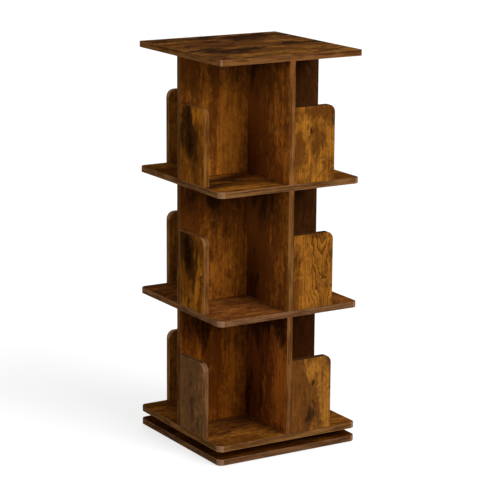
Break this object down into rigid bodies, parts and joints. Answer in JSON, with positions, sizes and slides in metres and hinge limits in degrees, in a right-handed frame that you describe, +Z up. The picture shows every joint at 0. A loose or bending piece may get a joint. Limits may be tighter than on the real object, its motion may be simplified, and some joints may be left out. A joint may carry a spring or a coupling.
{
  "type": "bookcase",
  "caption": "Square revolving bookcase in rustic brown board: a turning stack of open tiers, each with crossed uprights and half-height dividers, on a swivel and a base panel.",
  "frame": {"origin": "on the floor, at the middle of the footprint, on the turning axis", "axes": "+Z up; -Y is the front, the wider face in the picture; -X is the face on the picture's left"},
  "size_m": [0.4, 0.4, 0.9965],
  "materials": {
    "shelf_board": "rustic brown wood print with grain along the shelf, satin",
    "upright_board": "rustic brown wood print with upright grain, satin",
    "divider_board": "rustic brown wood print with upright grain, satin",
    "base_board": "rustic brown wood print, satin",
    "plated_steel": "bright zinc plate",
    "fixing_steel": "bright zinc plate",
    "cam_zinc": "cast zinc",
    "ball_steel": "polished",
    "cage_plastic": "moulded",
    "cap_plastic": "moulded, brown",
    "beech_dowel": "bare beech",
    "pad_rubber": "matt"
  },
  "bodies": {
    "base": {"foot_pads": "pad_rubber", "base_panel": "base_board", "swivel_lower_plate": "plated_steel", "swivel_pivot_rivet": "plated_steel", "swivel_lower_screws": "fixing_steel"},
    "ball_ring": {"swivel_ball_cage": "cage_plastic", "swivel_balls": "ball_steel"},
    "carousel": {"swivel_upper_plate": "plated_steel", "swivel_upper_screws": "fixing_steel", "bottom_shelf": "shelf_board", "lower_shelf": "shelf_board", "upper_shelf": "shelf_board", "top_panel": "shelf_board", "lower_long_upright": "upright_board", "lower_front_upright": "upright_board", "lower_back_upright": "upright_board", "lower_front_divider": "divider_board", "lower_right_divider": "divider_board", "lower_back_divider": "divider_board", "lower_left_divider": "divider_board", "middle_long_upright": "upright_board", "middle_front_upright": "upright_board", "middle_back_upright": "upright_board", "middle_front_divider": "divider_board", "middle_right_divider": "divider_board", "middle_back_divider": "divider_board", "middle_left_divider": "divider_board", "upper_long_upright": "upright_board", "upper_front_upright": "upright_board", "upper_back_upright": "upright_board", "upper_front_divider": "divider_board", "upper_right_divider": "divider_board", "upper_back_divider": "divider_board", "upper_left_divider": "divider_board", "bottom_shelf_bolts": "fixing_steel", "bottom_shelf_dowels": "beech_dowel", "lower_shelf_bolts": "fixing_steel", "lower_shelf_dowels": "beech_dowel", "upper_shelf_bolts": "fixing_steel", "upper_shelf_dowels": "beech_dowel", "top_panel_bolts": "fixing_steel", "top_panel_dowels": "beech_dowel", "lower_cam_locks": "cam_zinc", "lower_cam_caps": "cap_plastic", "lower_tier_bolts": "fixing_steel", "lower_tier_dowels": "beech_dowel", "middle_cam_locks": "cam_zinc", "middle_cam_caps": "cap_plastic", "middle_tier_bolts": "fixing_steel", "middle_tier_dowels": "beech_dowel", "upper_cam_locks": "cam_zinc", "upper_cam_caps": "cap_plastic", "upper_tier_bolts": "fixing_steel", "upper_tier_dowels": "beech_dowel"}
  },
  "joints": [
    {"name": "carousel_turn", "type": "hinge", "parent": "base", "child": "carousel", "pos_m": [0, 0, 0.02675], "axis": [0, 0, 1], "continuous": true},
    {"name": "ball_orbit", "type": "hinge", "parent": "base", "child": "ball_ring", "pos_m": [0, 0, 0.02675], "axis": [0, 0, 1], "continuous": true}
  ],
  "couplings": [
    {"joint": "ball_orbit", "follows": "carousel_turn", "ratio": 0.5}
  ]
}
